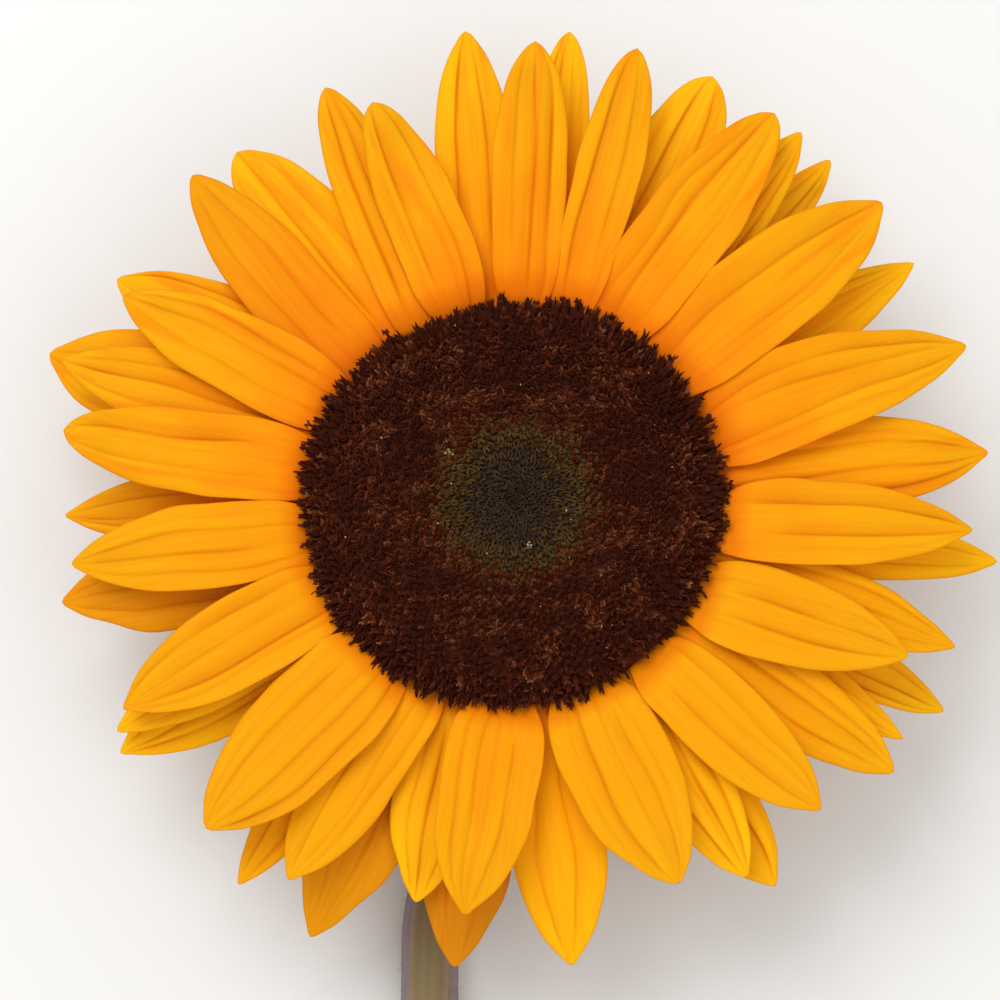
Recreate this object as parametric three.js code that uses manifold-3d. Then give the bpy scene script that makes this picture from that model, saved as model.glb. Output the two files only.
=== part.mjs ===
// A cut sunflower head on a short length of stem, lying on its back with the bloom facing up.
// Units are millimetres and +Z is up. The stem lies on z = 0 and runs towards -Y from the hooked
// neck under the bloom. Bearings are degrees clockwise from +Y, seen from above.
import * as THREE from "three";
import { mergeVertices } from "three/addons/utils/BufferGeometryUtils.js";
import Module from "manifold-3d";

const wasm = await Module();
wasm.setup();

// ---- Driving dimensions ----
const DISC_RADIUS = 41.5; // the seed disc, out to its fringe of florets
const FACE_HEIGHT = 40; // where the front petals are rooted, above the ground
const STEM_RADIUS = 5.6;
const STEM_SIDES = 16; // one of them lies flat on the ground
const STEM_REACH = 126; // from the bloom's axis to the cut
const STEM_SIDESTEP = 16.5; // how far the stem lies to the left of the bloom's axis
const NECK_BEND = 15; // radius of the hook between stem and bloom
const CLEARANCE = 0.35; // between solids that meet

// ---- Sizes that follow from them ----
const ROOT_RADIUS = DISC_RADIUS - 3.5; // the petals' roots, tucked under the disc's rim
const RIM_RADIUS = ROOT_RADIUS - 0.6;
const PETAL_SPAN = 52; // radial length over which the arch of the petals is drawn
const PETAL_THICKNESS = 0.6;
const RECEPTACLE_TOP = FACE_HEIGHT + 0.3;
const DISC_BOTTOM = RECEPTACLE_TOP + CLEARANCE;
const STEM_HEIGHT = STEM_RADIUS * Math.cos(Math.PI / STEM_SIDES);
const NECK_TOP = STEM_HEIGHT + NECK_BEND + 1.8;
const RECEPTACLE_BOTTOM = NECK_TOP + CLEARANCE;

// Four overlapping whorls of petals, the front one first. Each petal is
// [bearing of its root, bearing of its tip, reach from the axis, width, place of its widest part
// as a share of its length, how far its middle bows clockwise].
const WHORLS = [
  {
    name: "front",
    petals: [
      [2.5, 2.5, 91, 15, 0.55, 0],
      [16, 14.8, 93.5, 12.8, 0.58, 0.5],
      [28.5, 33.3, 91.5, 18.2, 0.48, 0],
      [49, 50.3, 92, 20, 0.5, -0.3],
      [71, 70.7, 91.5, 19.6, 0.37, -1.7],
      [96.5, 93.8, 87, 16.6, 0.42, -0.3],
      [117.5, 112.5, 80, 17.8, 0.4, 0],
      [139, 136.3, 82.5, 17, 0.45, 0.3],
      [161, 157.5, 79.5, 21.2, 0.48, 0.2],
      [183, 186.8, 80, 18.6, 0.48, 0],
      [220.3, 222.6, 85.5, 21.4, 0.5, 0],
      [243.5, 241.3, 84, 17.6, 0.48, 0.2],
      [260, 261.8, 85, 17, 0.48, 0],
      [279, 278.8, 87, 16.8, 0.52, -0.3],
      [298.5, 298.3, 85.5, 16.4, 0.5, 0],
      [344.5, 340.6, 82.8, 15.4, 0.5, 0.4],
    ],
  },
  {
    name: "second",
    petals: [
      [37.5, 36.8, 93, 13, 0.5, 0],
      [84, 83.2, 91.5, 17.6, 0.55, -0.4],
      [108, 108, 88, 14.5, 0.5, 0],
      [127, 125.6, 88, 15.6, 0.5, 0],
      [149.5, 148.6, 83.5, 15.4, 0.5, -0.4],
      [208, 210.7, 83.5, 16.2, 0.5, 0],
      [241.5, 240, 87, 14.6, 0.45, 0],
      [290, 288.4, 92, 16.6, 0.5, 0],
      [310.5, 316.5, 91, 16.6, 0.5, -0.8],
      [334, 336.2, 91.5, 14.4, 0.5, 0],
    ],
  },
  {
    name: "third",
    petals: [
      [8, 6.4, 97, 12.6, 0.52, 0],
      [23, 24, 95.5, 19, 0.55, 0],
      [57, 57.5, 92, 14.4, 0.5, 0],
      [98, 96, 93, 13, 0.45, 0],
      [121, 121, 86, 11, 0.45, 0],
      [147, 145.8, 87.5, 15, 0.62, 0],
      [172.3, 173, 88, 18, 0.55, 0],
      [196, 193.9, 78, 17, 0.5, 0],
      [216, 216, 89, 13, 0.5, 0],
      [236.5, 238, 88.5, 18, 0.5, 0],
      [256, 258.4, 88.5, 20.4, 0.5, 0],
      [303.5, 300.9, 90, 18, 0.5, 0.4],
      [324.5, 322.9, 90, 18.6, 0.5, 0.9],
      [352, 354.3, 97, 16, 0.56, 0],
    ],
  },
  {
    name: "back",
    petals: [
      [41, 40.8, 95, 13, 0.5, 0],
      [114.5, 114.6, 90.5, 12.5, 0.5, 0],
      [189, 187.5, 88, 18.2, 0.55, 0],
      [206, 205.6, 90, 19.6, 0.52, 0],
      [272, 270.3, 87, 14.2, 0.5, 0],
      [291, 289.9, 96.5, 21, 0.58, 0],
    ],
  },
];

const radians = THREE.MathUtils.degToRad;

// A repeatable number from 0 to 1 for the i-th thing of a kind.
function vary(i, kind) {
  const x = Math.sin(i * 127.1 + kind * 311.7) * 43758.5453;
  return x - Math.floor(x);
}

function along(bearing, radius, z = 0) {
  const a = radians(bearing);
  return new THREE.Vector3(radius * Math.sin(a), radius * Math.cos(a), z);
}

// ---- Shapes ----

// A closed blade: rows of points on its upper side, thickened by each row's own offset.
function bladeGeometry(rows, offsets) {
  const count = rows[0].length;
  const points = [...rows.flat(), ...rows.flatMap((row, i) => row.map((p) => p.clone().add(offsets[i])))];
  const under = rows.length * count;
  const faces = [];
  const quad = (a, b, c, d) => faces.push(a, b, c, a, c, d);
  for (let i = 0; i + 1 < rows.length; i++) {
    for (let j = 0; j + 1 < count; j++) {
      const a = i * count + j;
      quad(a, a + 1, a + count + 1, a + count);
      quad(under + a, under + a + count, under + a + count + 1, under + a + 1);
    }
    const left = i * count;
    const right = left + count - 1;
    quad(left, left + count, under + left + count, under + left);
    quad(right, under + right, under + right + count, right + count);
  }
  for (let j = 0; j + 1 < count; j++) {
    const far = (rows.length - 1) * count + j;
    quad(j, under + j, under + j + 1, j + 1);
    quad(far, far + 1, under + far + 1, under + far);
  }
  return new THREE.BufferGeometry().setFromPoints(points).setIndex(faces);
}

// Half the width of a petal or bract at a share of its length, as a share of its widest half.
function outline(share, widest, root, tip) {
  const rising = Math.sin((Math.PI / 2) * Math.min(1, share / widest)) ** 0.6;
  const falling = Math.cos((Math.PI / 2) * Math.max(0, (share - widest) / (1 - widest))) ** 0.62;
  return Math.max(share < widest ? root : tip, share < widest ? rising : falling);
}

function solidOf(geometry) {
  const bare = geometry.clone();
  bare.deleteAttribute("normal");
  bare.deleteAttribute("uv");
  const merged = mergeVertices(bare, 1e-4);
  return new wasm.Manifold(
    new wasm.Mesh({
      numProp: 3,
      vertProperties: merged.attributes.position.array,
      triVerts: new Uint32Array(merged.index.array),
    }),
  );
}

function geometryOf(solid) {
  const mesh = solid.getMesh();
  const geometry = new THREE.BufferGeometry();
  geometry.setAttribute("position", new THREE.BufferAttribute(mesh.vertProperties, 3));
  geometry.setIndex(new THREE.BufferAttribute(mesh.triVerts, 1));
  return geometry;
}

// A solid of revolution about Z from (radius, height) pairs that start and end on the axis.
function turned(profile, segments) {
  const points = profile.map(([radius, height]) => new THREE.Vector2(radius, height));
  return new THREE.LatheGeometry(points, segments).rotateX(Math.PI / 2);
}

// ---- Petals ----

const PETAL_STATIONS = [0, 0.11, 0.26, 0.44, 0.62, 0.79, 0.92, 1];
const PETAL_ACROSS = [-1, -0.42, 0, 0.42, 1]; // edges, the two creases and the middle
const CREASE_DEPTH = 0.75;
const EDGE_DROP = 0.3;

// Height of a whorl's upper side above the petals' roots: each whorl arches out of the rim and
// levels off, and lies below the one in front of it.
function whorlHeight(radius, whorl) {
  const q = THREE.MathUtils.clamp((radius - ROOT_RADIUS) / PETAL_SPAN, 0, 1.1);
  const arch = 5.2 * Math.sin(Math.PI * Math.min(1, q ** 0.8)) + 1.5 * q;
  const gap = 1.15 + 2 * (1 - Math.exp(-4 * q)) + 0.6 * q;
  return arch - whorl * gap;
}

function petalGeometry([rootBearing, tipBearing, reach, width, widest, bow], whorl, index) {
  const root = along(rootBearing, ROOT_RADIUS);
  const tip = along(tipBearing, reach);
  const side = new THREE.Vector3(tip.y - root.y, root.x - tip.x, 0).normalize();
  // The front petals' tips and edges lift freely, and the back petals' droop freely.
  const freedom = [1, 0.15, -0.15, -1][whorl];
  const tipLift = freedom * 4 * vary(index, 1);
  const edgeLift = freedom * 1.1 * vary(index, 2);
  const rows = PETAL_STATIONS.map((share) => {
    const full = outline(share, widest, 0.4, 0.08);
    const middle = root.clone().lerp(tip, share).addScaledVector(side, bow * Math.sin(Math.PI * share));
    return PETAL_ACROSS.map((t) => {
      const p = middle.clone().addScaledVector(side, (t * full * width) / 2);
      const crease = Math.abs(t) > 0.2 && Math.abs(t) < 0.8 ? CREASE_DEPTH : 0;
      const relief = crease + EDGE_DROP * t ** 4;
      const free = tipLift * THREE.MathUtils.smoothstep(share, 0.5, 1) ** 2 + edgeLift * t ** 4 * full;
      p.z = FACE_HEIGHT + whorlHeight(Math.hypot(p.x, p.y), whorl) - relief * full + free;
      return p;
    });
  });
  const down = new THREE.Vector3(0, 0, -PETAL_THICKNESS);
  return bladeGeometry(rows, rows.map(() => down));
}

// ---- Disc ----

const DISC_SEGMENTS = 40;
const FLORET_COUNT = 160;
const GOLDEN_ANGLE = 137.50776;
const DISC_CENTRE_RADIUS = 14; // the unopened middle of the disc, slightly sunken

// Height of the florets' bases above the disc's bottom.
function discHeight(radius) {
  const dome = 4.6 - 1.2 * (radius / DISC_RADIUS) ** 4;
  return dome - 0.9 * Math.exp(-((radius / DISC_CENTRE_RADIUS) ** 2));
}

function discGeometry() {
  const shoulder = DISC_RADIUS - 2.4;
  const profile = [[0, 0], [RIM_RADIUS, 0], [DISC_RADIUS - 0.6, 2.6]];
  for (const share of [1, 0.8, 0.6, 0.4, 0.2, 0]) {
    profile.push([shoulder * share, discHeight(shoulder * share)]);
  }
  const body = solidOf(turned(profile, DISC_SEGMENTS));
  const florets = [];
  for (let i = 0; i < FLORET_COUNT; i++) {
    const share = Math.sqrt((i + 0.5) / FLORET_COUNT);
    const radius = shoulder * share;
    const lean = radians(4 + 34 * share ** 6);
    const height = 1.8 + 1.6 * share;
    const floret = new THREE.ConeGeometry(1.1 + 0.15 * share, height + 1, 4, 1);
    floret.rotateX(Math.PI / 2).translate(0, 0, height / 2 - 0.5);
    floret.rotateX(-lean).translate(0, radius, discHeight(radius));
    floret.rotateZ(radians(-GOLDEN_ANGLE * i));
    florets.push(solidOf(floret));
  }
  const disc = geometryOf(wasm.Manifold.union([body, ...florets]));
  return disc.translate(0, 0, DISC_BOTTOM);
}

// ---- Receptacle, the green back of the bloom ----

const NECK_FLARE = 7.4;

const RECEPTACLE_SEGMENTS = 40;

// The underside, from the neck out to the rim: (radius, share of the receptacle's depth).
const UNDERSIDE = [
  [NECK_FLARE, 0],
  [10, 0.12],
  [16, 0.29],
  [24, 0.44],
  [31, 0.56],
  [35.5, 0.68],
  [RIM_RADIUS, 0.8],
];
const receptacleHeight = (share) =>
  THREE.MathUtils.lerp(RECEPTACLE_BOTTOM, RECEPTACLE_TOP, share);

function receptacleGeometry() {
  const profile = [[0, 0], ...UNDERSIDE, [RIM_RADIUS, 1], [0, 1]];
  return turned(
    profile.map(([radius, share]) => [radius, receptacleHeight(share)]),
    RECEPTACLE_SEGMENTS,
  );
}

// Height of the underside at a radius.
function undersideHeight(radius) {
  const i = Math.max(1, UNDERSIDE.findIndex(([r]) => r >= radius));
  const [[nearRadius, nearShare], [farRadius, farShare]] = UNDERSIDE.slice(i - 1, i + 1);
  const t = (radius - nearRadius) / (farRadius - nearRadius);
  return receptacleHeight(THREE.MathUtils.lerp(nearShare, farShare, t));
}

// ---- Bracts, the green leaves under the petals ----

const BRACT_THICKNESS = 0.7;
const BRACT_STATIONS = [0, 0.2, 0.42, 0.64, 0.85, 1];
const BRACT_ACROSS = [-1, 0, 1];
const BRACT_KEEL = 1.6;
const COLLAR_THICKNESS = 1.3;
const STEM_BEARING = 185;

// Each whorl of bracts springs from a collar round the receptacle. Its blades follow a curve of
// (radius, height) points, and those over the stem follow another.
const BRACT_WHORLS = [
  {
    name: "outer",
    count: 12,
    turn: 5,
    width: 14,
    collar: [20, 26.5],
    curve: [[22, 28], [39, 32], [50, 20], [54, 0.15]],
    overStem: [[22, 28], [38, 31.4], [50, 28], [57, 18]],
  },
  {
    name: "middle",
    count: 13,
    turn: 17,
    width: 14.5,
    collar: [27.2, 31],
    curve: [[29, 30.5], [41, 32], [53, 28], [61, 16]],
    overStem: [[29, 30.5], [41, 32], [53, 29], [61, 21]],
  },
  {
    name: "inner",
    count: 14,
    turn: 9,
    width: 13,
    collar: [32, 35.3],
    curve: [[34.2, 33.2], [42, 34.9], [50, 34.6], [58, 30]],
    overStem: [[34.2, 33.2], [42, 34.9], [50, 34.6], [58, 30]],
  },
];

// A ring of green under the receptacle between two radii.
function collarSolid([inner, outer]) {
  const innerTop = undersideHeight(inner) - CLEARANCE;
  const outerTop = undersideHeight(outer) - CLEARANCE;
  const profile = [
    [inner, innerTop],
    [inner, innerTop - COLLAR_THICKNESS],
    [outer, outerTop - COLLAR_THICKNESS],
    [outer, outerTop],
    [inner, innerTop],
  ];
  return solidOf(turned(profile, RECEPTACLE_SEGMENTS));
}

function bractGeometry(bearing, curvePoints, width) {
  const curve = new THREE.CubicBezierCurve3(...curvePoints.map(([r, z]) => new THREE.Vector3(0, r, z)));
  const side = new THREE.Vector3(1, 0, 0);
  const offsets = [];
  const rows = BRACT_STATIONS.map((share) => {
    const normal = side.clone().cross(curve.getTangentAt(share));
    offsets.push(normal.clone().multiplyScalar(-BRACT_THICKNESS));
    const full = outline(share, 0.3, 0.6, 0.05);
    return BRACT_ACROSS.map((t) => {
      const p = curve.getPointAt(share).addScaledVector(side, (t * full * width) / 2);
      return p.addScaledVector(normal, BRACT_KEEL * full * (t * t - 0.5));
    });
  });
  return bladeGeometry(rows, offsets).rotateZ(radians(-bearing));
}

function bractWhorlGeometry({ count, turn, width, collar, curve, overStem }) {
  const parts = [collarSolid(collar)];
  for (let i = 0; i < count; i++) {
    const bearing = turn + (i * 360) / count;
    const nearStem = Math.abs(bearing - STEM_BEARING) < 32;
    parts.push(solidOf(bractGeometry(bearing, nearStem ? overStem : curve, width)));
  }
  return geometryOf(wasm.Manifold.union(parts));
}

// ---- Stem ----

// The stem's centre line: a quarter circle down from the bloom, then along the ground.
class StemCurve extends THREE.Curve {
  getPoint(share, target = new THREE.Vector3()) {
    const bendLength = (Math.PI / 2) * NECK_BEND;
    const length = bendLength + STEM_REACH - NECK_BEND;
    const s = share * length;
    if (s < bendLength) {
      const angle = s / NECK_BEND;
      target.set(0, Math.cos(angle) - 1, 1 - Math.sin(angle)).multiplyScalar(NECK_BEND);
      target.z += STEM_HEIGHT;
      return target;
    }
    const run = s - bendLength;
    const x = -STEM_SIDESTEP * THREE.MathUtils.smoothstep(run, 0, 66);
    return target.set(x, -NECK_BEND - run, STEM_HEIGHT);
  }
}

function stemGeometry() {
  const curve = new StemCurve();
  const rings = [[new THREE.Vector3(0, 0, NECK_TOP), new THREE.Vector3(0, 0, -1), 0]];
  for (const share of [0, 0.05, 0.1, 0.15, 0.22, 0.3, 0.38, 0.46, 0.54, 0.62, 0.7, 0.85, 1]) {
    rings.push([curve.getPoint(share), curve.getTangent(share), share]);
  }
  rings.at(-1)[1].set(0, -1, 0);
  const points = [];
  for (const [centre, tangent, share] of rings) {
    const flare = 1 - THREE.MathUtils.smoothstep(share, 0, 0.14);
    const radius = THREE.MathUtils.lerp(STEM_RADIUS, NECK_FLARE, flare);
    const across = new THREE.Vector3(1, 0, 0).addScaledVector(tangent, -tangent.x).normalize();
    const up = across.clone().cross(tangent).normalize();
    for (let k = 0; k < STEM_SIDES; k++) {
      const a = ((k + 0.5) * 2 * Math.PI) / STEM_SIDES;
      const p = centre.clone().addScaledVector(across, radius * Math.cos(a));
      points.push(p.addScaledVector(up, radius * Math.sin(a)));
    }
  }
  const faces = [];
  for (let i = 0; i + 1 < rings.length; i++) {
    for (let k = 0; k < STEM_SIDES; k++) {
      const a = i * STEM_SIDES + k;
      const b = i * STEM_SIDES + ((k + 1) % STEM_SIDES);
      faces.push(a, a + STEM_SIDES, b, b, a + STEM_SIDES, b + STEM_SIDES);
    }
  }
  const last = (rings.length - 1) * STEM_SIDES;
  for (let k = 1; k + 1 < STEM_SIDES; k++) {
    faces.push(0, k, k + 1, last, last + k + 1, last + k);
  }
  return new THREE.BufferGeometry().setFromPoints(points).setIndex(faces);
}

// ---- Assembly ----

const leafMaterial = (color, roughness) => new THREE.MeshStandardMaterial({ color, roughness, metalness: 0 });
const materials = {
  petal: leafMaterial(0xffa514, 0.55),
  disc: leafMaterial(0x36150c, 0.9),
  receptacle: leafMaterial(0x6f8a3a, 0.7),
  bract: leafMaterial(0x567a2c, 0.7),
  stem: leafMaterial(0x78703f, 0.75),
};

function piece(name, geometry, material) {
  const mesh = new THREE.Mesh(geometry, material);
  mesh.name = name;
  return mesh;
}

const flower = new THREE.Group();
flower.add(piece("stem", stemGeometry(), materials.stem));
flower.add(piece("receptacle", receptacleGeometry(), materials.receptacle));
flower.add(piece("disc", discGeometry(), materials.disc));
for (const whorl of BRACT_WHORLS) {
  flower.add(piece(`bracts_${whorl.name}`, bractWhorlGeometry(whorl), materials.bract));
}
WHORLS.forEach((whorl, depth) =>
  whorl.petals.forEach((petal, i) => {
    const name = `petal_${whorl.name}_${String(i + 1).padStart(2, "0")}`;
    flower.add(piece(name, petalGeometry(petal, depth, 20 * depth + i), materials.petal));
  }),
);

// The origin is the middle of the whole piece's outline on the ground.
const bounds = new THREE.Box3().setFromObject(flower);
const middle = bounds.getCenter(new THREE.Vector3());
flower.position.set(-middle.x, -middle.y, -bounds.min.z);

export default flower;
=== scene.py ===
"""A cut sunflower lying on its back: golden petals, a disc of brown florets, green bracts
behind them and a short stem on the ground.

Lengths are in millimetres until a mesh is made. Bearings are degrees clockwise from +Y, seen
from above, about the bloom's axis.
"""

import math

import bpy
import numpy as np
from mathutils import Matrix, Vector


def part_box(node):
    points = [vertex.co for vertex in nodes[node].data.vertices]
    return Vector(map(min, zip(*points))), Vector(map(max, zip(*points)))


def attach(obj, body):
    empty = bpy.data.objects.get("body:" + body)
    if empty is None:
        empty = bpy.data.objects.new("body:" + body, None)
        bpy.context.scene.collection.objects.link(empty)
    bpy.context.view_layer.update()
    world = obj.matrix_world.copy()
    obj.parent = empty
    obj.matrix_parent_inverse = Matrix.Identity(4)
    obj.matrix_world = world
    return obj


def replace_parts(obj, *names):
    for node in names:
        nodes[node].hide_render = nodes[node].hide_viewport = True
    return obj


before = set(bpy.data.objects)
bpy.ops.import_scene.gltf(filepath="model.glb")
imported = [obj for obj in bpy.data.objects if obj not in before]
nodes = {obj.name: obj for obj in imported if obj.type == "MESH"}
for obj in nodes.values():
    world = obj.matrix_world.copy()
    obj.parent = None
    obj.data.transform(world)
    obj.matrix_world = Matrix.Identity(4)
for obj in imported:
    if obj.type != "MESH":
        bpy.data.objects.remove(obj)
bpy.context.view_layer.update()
scene = bpy.context.scene
rng = np.random.default_rng(20)

MM = 0.001
DISC_LOW, DISC_HIGH = (np.array(corner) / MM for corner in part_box("disc"))
AXIS = (DISC_LOW + DISC_HIGH)[:2] / 2
DISC_BASE = DISC_LOW[2]
DISC_RADIUS = 41.5  # the CAD disc's, whose dome the florets stand on
STEM_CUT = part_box("stem")[0][1] / MM  # how far along Y the stem's cut end is


def put_in_scene(name, data):
    """A new object made from a mesh, a lamp or a camera."""
    thing = bpy.data.objects.new(name, data)
    scene.collection.objects.link(thing)
    return thing


# ---- Meshes from arrays ----


def make_piece(name, points, faces, materials, tones=None, smooth=True):
    """A piece from points in mm, faces all of one size, and each face's material number."""
    mesh = bpy.data.meshes.new(name)
    faces = faces.reshape(-1, faces.shape[-1]).astype(np.int32)
    mesh.vertices.add(points.size // 3)
    mesh.vertices.foreach_set("co", (points * MM).astype(np.float32).ravel())
    mesh.loops.add(faces.size)
    mesh.loops.foreach_set("vertex_index", faces.ravel())
    mesh.polygons.add(len(faces))
    starts = np.arange(0, faces.size, faces.shape[1], dtype=np.int32)
    mesh.polygons.foreach_set("loop_start", starts)
    if tones is not None:
        mesh.polygons.foreach_set("material_index", tones.astype(np.int32))
    mesh.update(calc_edges=True)
    mesh.validate()
    mesh.polygons.foreach_set("use_smooth", np.full(len(faces), smooth))
    for material in materials:
        mesh.materials.append(material)
    piece = put_in_scene(name, mesh)
    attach(piece, "root")
    return piece


def add_attribute(piece, name, values):
    """A number or a vector for each point of a piece, for its material to read."""
    single = values.size == len(piece.data.vertices)
    kind, field = ("FLOAT", "value") if single else ("FLOAT_VECTOR", "vector")
    layer = piece.data.attributes.new(name, kind, "POINT")
    layer.data.foreach_set(field, values.astype(np.float32).ravel())


def grid_faces(rows, columns, around=False):
    """Quads over a grid of points, closed round if its last column joins its first."""
    across = columns if around else columns - 1
    i, j = np.meshgrid(np.arange(rows - 1), np.arange(across), indexing="ij")
    a = (i * columns + j).ravel()
    b = (i * columns + (j + 1) % columns).ravel()
    return np.stack([a, b, b + columns, a + columns], 1)


def shell_faces(rows, columns):
    """Quads of a closed blade: its upper grid, its lower grid and the rim between them."""
    count = rows * columns
    upper = grid_faces(rows, columns)
    lower = upper[:, ::-1] + count
    index = np.arange(count).reshape(rows, columns)
    rim = np.concatenate([index[0, :-1], index[:-1, -1], index[-1, :0:-1], index[:0:-1, 0]])
    after = np.roll(rim, -1)
    walls = np.stack([after, rim, rim + count, after + count], 1)
    return np.concatenate([upper, lower, walls])


def unit(vectors):
    """Vectors brought to length 1."""
    return vectors / np.linalg.norm(vectors, axis=-1, keepdims=True)


def circle(count):
    """Angles of so many equal steps round a circle."""
    return np.arange(count) * math.tau / count


def spokes(across, up, angles):
    """Directions round each station of a path, from two that are square to it."""
    c, s = np.cos(angles)[:, None], np.sin(angles)[:, None]
    return across[:, None] * c + up[:, None] * s


def repeated(faces, points, count):
    """The faces of copies of a shape that has so many points."""
    return faces + points * np.arange(count)[:, None, None]


def lathe(profile, sides, shift=lambda r, a: 0, ripple=lambda r, a: 0):
    """Rings of points round the bloom's axis through (radius, height) pairs, and their faces.
    The shift moves a point out and the ripple moves it up, by its radius and its angle
    anticlockwise from +X."""
    a = -circle(sides)
    r, z = (np.array(column)[:, None] * np.ones(sides) for column in zip(*profile))
    r = r + shift(r, a)
    z = z + ripple(r, a)
    points = np.stack([AXIS[0] + r * np.cos(a), AXIS[1] + r * np.sin(a), z], -1)
    return points.reshape(-1, 3), grid_faces(len(profile), sides, around=True)


NOISE_CELLS, NOISE_START = 64, 17


def smooth_noise(x, seed, scale):
    """Smooth random numbers from -1 to 1 along x, changing over a distance of scale."""
    table = np.random.default_rng(seed).uniform(-1, 1, NOISE_CELLS)
    u = x / scale + NOISE_START
    cell = np.floor(u).astype(int)
    f = u - cell
    f = f * f * (3 - 2 * f)
    return table[cell % NOISE_CELLS] * (1 - f) + table[(cell + 1) % NOISE_CELLS] * f


def ease(x, low, high):
    """Smoothly from 0 at low to 1 at high."""
    u = np.clip((x - low) / (high - low), 0, 1)
    return u * u * (3 - 2 * u)


def spline(knots, values, x):
    """A smooth curve through values at knots, read at x."""
    slopes = np.gradient(values, knots, axis=0)
    i = np.clip(np.searchsorted(knots, x, side="right") - 1, 0, len(knots) - 2)
    step = (knots[i + 1] - knots[i]).reshape(-1, *[1] * (values.ndim - 1))
    u = (x - knots[i]).reshape(step.shape) / step
    start = values[i] * (1 + 2 * u) * (1 - u) ** 2 + slopes[i] * step * u * (1 - u) ** 2
    end = values[i + 1] * u * u * (3 - 2 * u) - slopes[i + 1] * step * u * u * (1 - u)
    return start + end


# ---- Materials ----


def srgb(red, green, blue):
    """A shader's colour, from one as it shows on a screen, 0 to 255."""
    shares = (value / 255 for value in (red, green, blue))
    return (*(c / 12.92 if c <= 0.04045 else ((c + 0.055) / 1.055) ** 2.4 for c in shares), 1.0)


class Nodes:
    """A material's node tree, with short calls for the nodes that the materials here share.
    Its colours are tuples, as they show on a screen."""

    def __init__(self, name):
        self.material = bpy.data.materials.new(name)
        self.material.use_nodes = True
        self.tree = self.material.node_tree
        self.shader = self.tree.nodes["Principled BSDF"]

    def add(self, kind, inputs=None, **settings):
        """A node of a kind, with its settings made and its inputs linked or set."""
        node = self.tree.nodes.new("ShaderNode" + kind)
        for key, value in settings.items():
            setattr(node, key, value)
        for key, value in (inputs or {}).items():
            self.put(node.inputs[key], value)
        return node

    def put(self, socket, value):
        """Links an output to a socket, or sets the socket to a number or a colour."""
        if isinstance(value, bpy.types.NodeSocket):
            self.tree.links.new(value, socket)
        else:
            socket.default_value = srgb(*value) if isinstance(value, tuple) else value

    def attribute(self, name, output="Fac"):
        return self.add("Attribute", attribute_name=name).outputs[output]

    def parts(self, name):
        """The three numbers of a vector that a piece's points carry."""
        node = self.add("SeparateXYZ", {0: self.attribute(name, "Vector")})
        return [node.outputs[k] for k in "XYZ"]

    def stretched(self, parts, scales):
        """A vector of three numbers, each times a scale."""
        inputs = {k: self.times(part, by) for k, part, by in zip("XYZ", parts, scales)}
        return self.add("CombineXYZ", inputs).outputs[0]

    def ramp(self, value, *stops):
        """A smooth ramp through (position, colour) or (position, number) stops."""
        node = self.add("ValToRGB", {"Fac": value})
        elements = node.color_ramp.elements
        while len(elements) < len(stops):
            elements.new(0.5)
        for element, (place, colour) in zip(elements, stops):
            element.position = place
            element.color = srgb(*colour) if isinstance(colour, tuple) else (colour,) * 3 + (1,)
        return node.outputs["Color"]

    def noise(self, scale, detail=2.0, vector=None, rough=0.5):
        vector = vector or self.add("TexCoord").outputs["Object"]
        inputs = {"Scale": scale, "Detail": detail, "Roughness": rough, "Vector": vector}
        return self.add("TexNoise", inputs).outputs["Fac"]

    def mix(self, factor, first, second, blend="MIX"):
        """A mix of two colours, by the numbers of a mix node's colour sockets."""
        inputs = {0: factor, 6: first, 7: second}
        return self.add("Mix", inputs, data_type="RGBA", blend_type=blend).outputs[2]

    def maths(self, operation, first, second=0.0):
        return self.add("Math", {0: first, 1: second}, operation=operation).outputs[0]

    def plus(self, first, second):
        return self.maths("ADD", first, second)

    def times(self, first, second):
        return self.maths("MULTIPLY", first, second)

    def bump(self, height, strength, distance):
        inputs = {"Height": height, "Strength": strength, "Distance": distance}
        self.put(self.shader.inputs["Normal"], self.add("Bump", inputs).outputs["Normal"])

    def finish(self, colour, roughness, specular, sheen=0.0):
        """The material, once its surface is set."""
        names = ("Base Color", "Roughness", "Specular IOR Level", "Sheen Weight")
        for key, value in zip(names, (colour, roughness, specular, sheen)):
            self.put(self.shader.inputs[key], value)
        return self.material


# Painted shade of the creases and edges.
CREASE_SHADE_TONE = (200, 102, 0)
# Painted shade of the disc's rim on the very root of each petal.
ROOT_SHADE_TONE = (232, 98, 0)


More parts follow.
